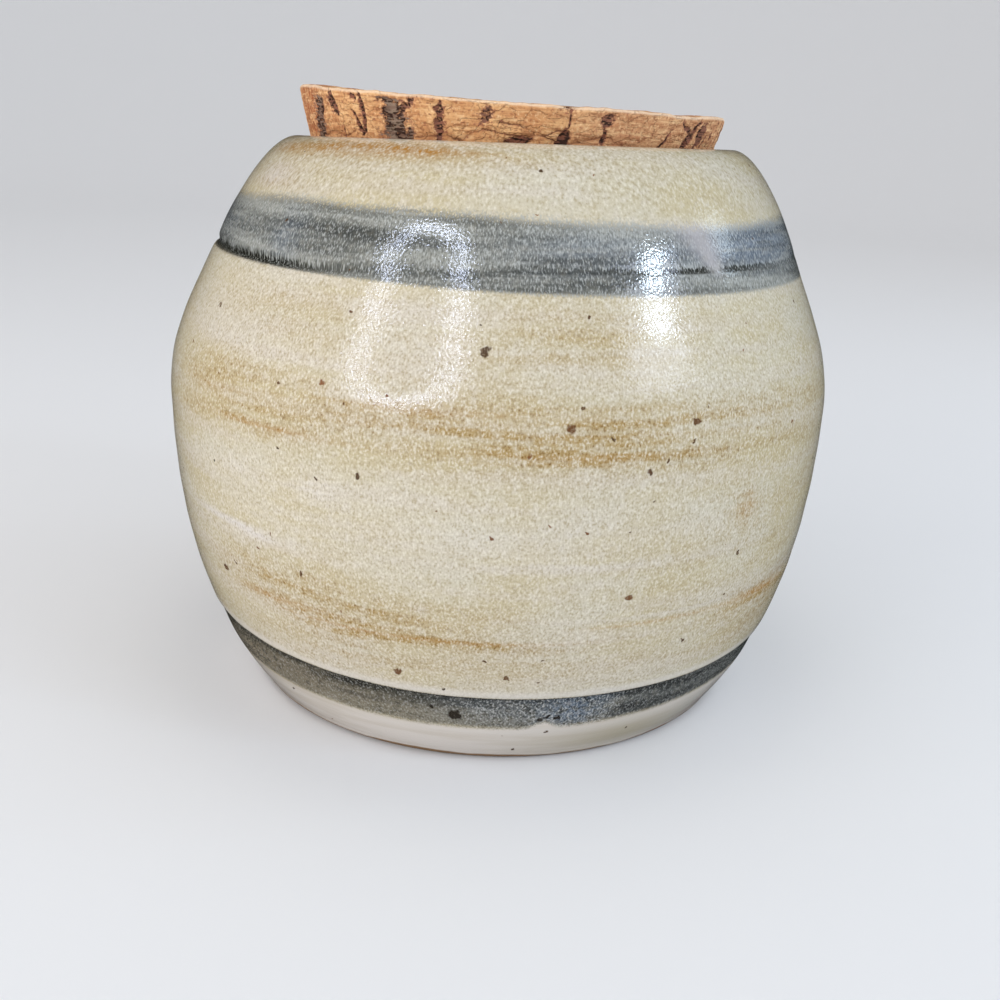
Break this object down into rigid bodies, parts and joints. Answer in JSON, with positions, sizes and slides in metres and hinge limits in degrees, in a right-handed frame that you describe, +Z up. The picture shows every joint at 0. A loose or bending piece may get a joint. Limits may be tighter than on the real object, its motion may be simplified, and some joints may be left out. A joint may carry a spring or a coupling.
{
  "type": "stoneware canister",
  "caption": "Squat round stoneware storage jar with painted bands at shoulder and foot, shut by a tapered cork stopper pressed into its mouth.",
  "frame": {"origin": "on the surface the jar stands on, below the middle of its belly", "axes": "+Z up, -Y towards the side that the picture shows, +X to the right as seen from there"},
  "size_m": [0.14, 0.14, 0.1226],
  "materials": {
    "glazed_stoneware": "satin oatmeal glaze with iron specks and grey-blue brushed bands, bare clay under the foot",
    "bark_cork": "natural bark cork, cut and sanded, with dark pores"
  },
  "bodies": {
    "root": {"jar": "glazed_stoneware", "cork_stopper": "bark_cork"}
  },
  "joints": []
}
